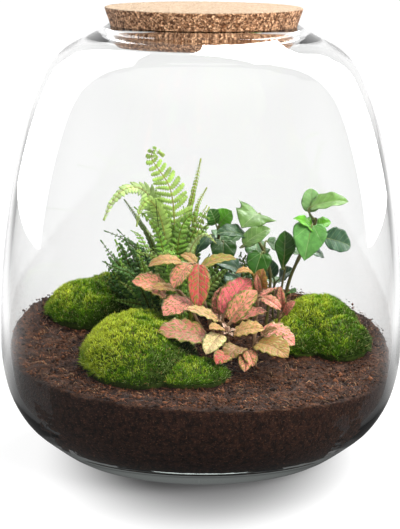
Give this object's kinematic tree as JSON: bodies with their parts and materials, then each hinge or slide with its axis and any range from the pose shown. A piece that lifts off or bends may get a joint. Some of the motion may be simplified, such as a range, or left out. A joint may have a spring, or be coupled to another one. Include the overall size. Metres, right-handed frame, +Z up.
{
  "type": "glass plant terrarium",
  "caption": "Closed glass jar with a cork plug, holding a bed of soil with moss cushions, a fern, ivies and a pink fittonia.",
  "frame": {"origin": "middle of the underside of the jar, on the surface that it stands on", "axes": "+Z up through the cork lid, -Y towards the side with the fittonia and the low front of the soil, +X to the right seen from there"},
  "size_m": [0.25, 0.25, 0.278],
  "materials": {
    "glass": "polished clear blown glass, faintly green where it is thick",
    "cork": "matte pressed cork with dark grains",
    "soil": "matte dark potting soil with reddish fibres",
    "moss": "matte dense cushion moss",
    "fern_light": "satin thin young fronds",
    "fern_dark": "satin thin older fronds",
    "ivy_leaf": "satin leathery leaves with pale veins",
    "fittonia_leaf": "satin pink leaves netted and edged with green"
  },
  "bodies": {
    "root": {"glass_jar": "glass", "cork_lid": "cork", "soil": "soil", "moss_cushion_left": "moss", "moss_cushion_front": "moss", "moss_cushion_right": "moss", "fern_frond_tall": "fern_light", "fern_frond_arching_left": "fern_light", "fern_frond_drooping_left": "fern_light", "fern_frond_upright": "fern_light", "fern_frond_upright_small": "fern_light", "fern_frond_dark_narrow": "fern_dark", "fern_frond_dark_left_upper": "fern_dark", "fern_frond_dark_left_middle": "fern_dark", "fern_frond_dark_left_lower": "fern_dark", "fern_frond_fine_dark": "fern_dark", "fern_frond_middle_left": "fern_light", "fern_frond_middle_right": "fern_light", "fern_frond_pale_right": "fern_light", "fern_frond_front_low": "fern_light", "fern_frond_back_right": "fern_light", "fern_frond_back_middle": "fern_light", "fern_frond_back_left": "fern_light", "fern_frond_dark_back_left": "fern_dark", "ivy_middle_front": "ivy_leaf", "ivy_middle_back": "ivy_leaf", "ivy_middle_low": "ivy_leaf", "ivy_low_right": "ivy_leaf", "ivy_right": "ivy_leaf", "ivy_right_spoon": "ivy_leaf", "fittonia_tall": "fittonia_leaf", "fittonia_left": "fittonia_leaf", "fittonia_crown": "fittonia_leaf", "fittonia_front": "fittonia_leaf", "fittonia_front_low": "fittonia_leaf", "fittonia_right": "fittonia_leaf", "fittonia_back_right": "fittonia_leaf", "fittonia_far_right": "fittonia_leaf"}
  },
  "joints": []
}
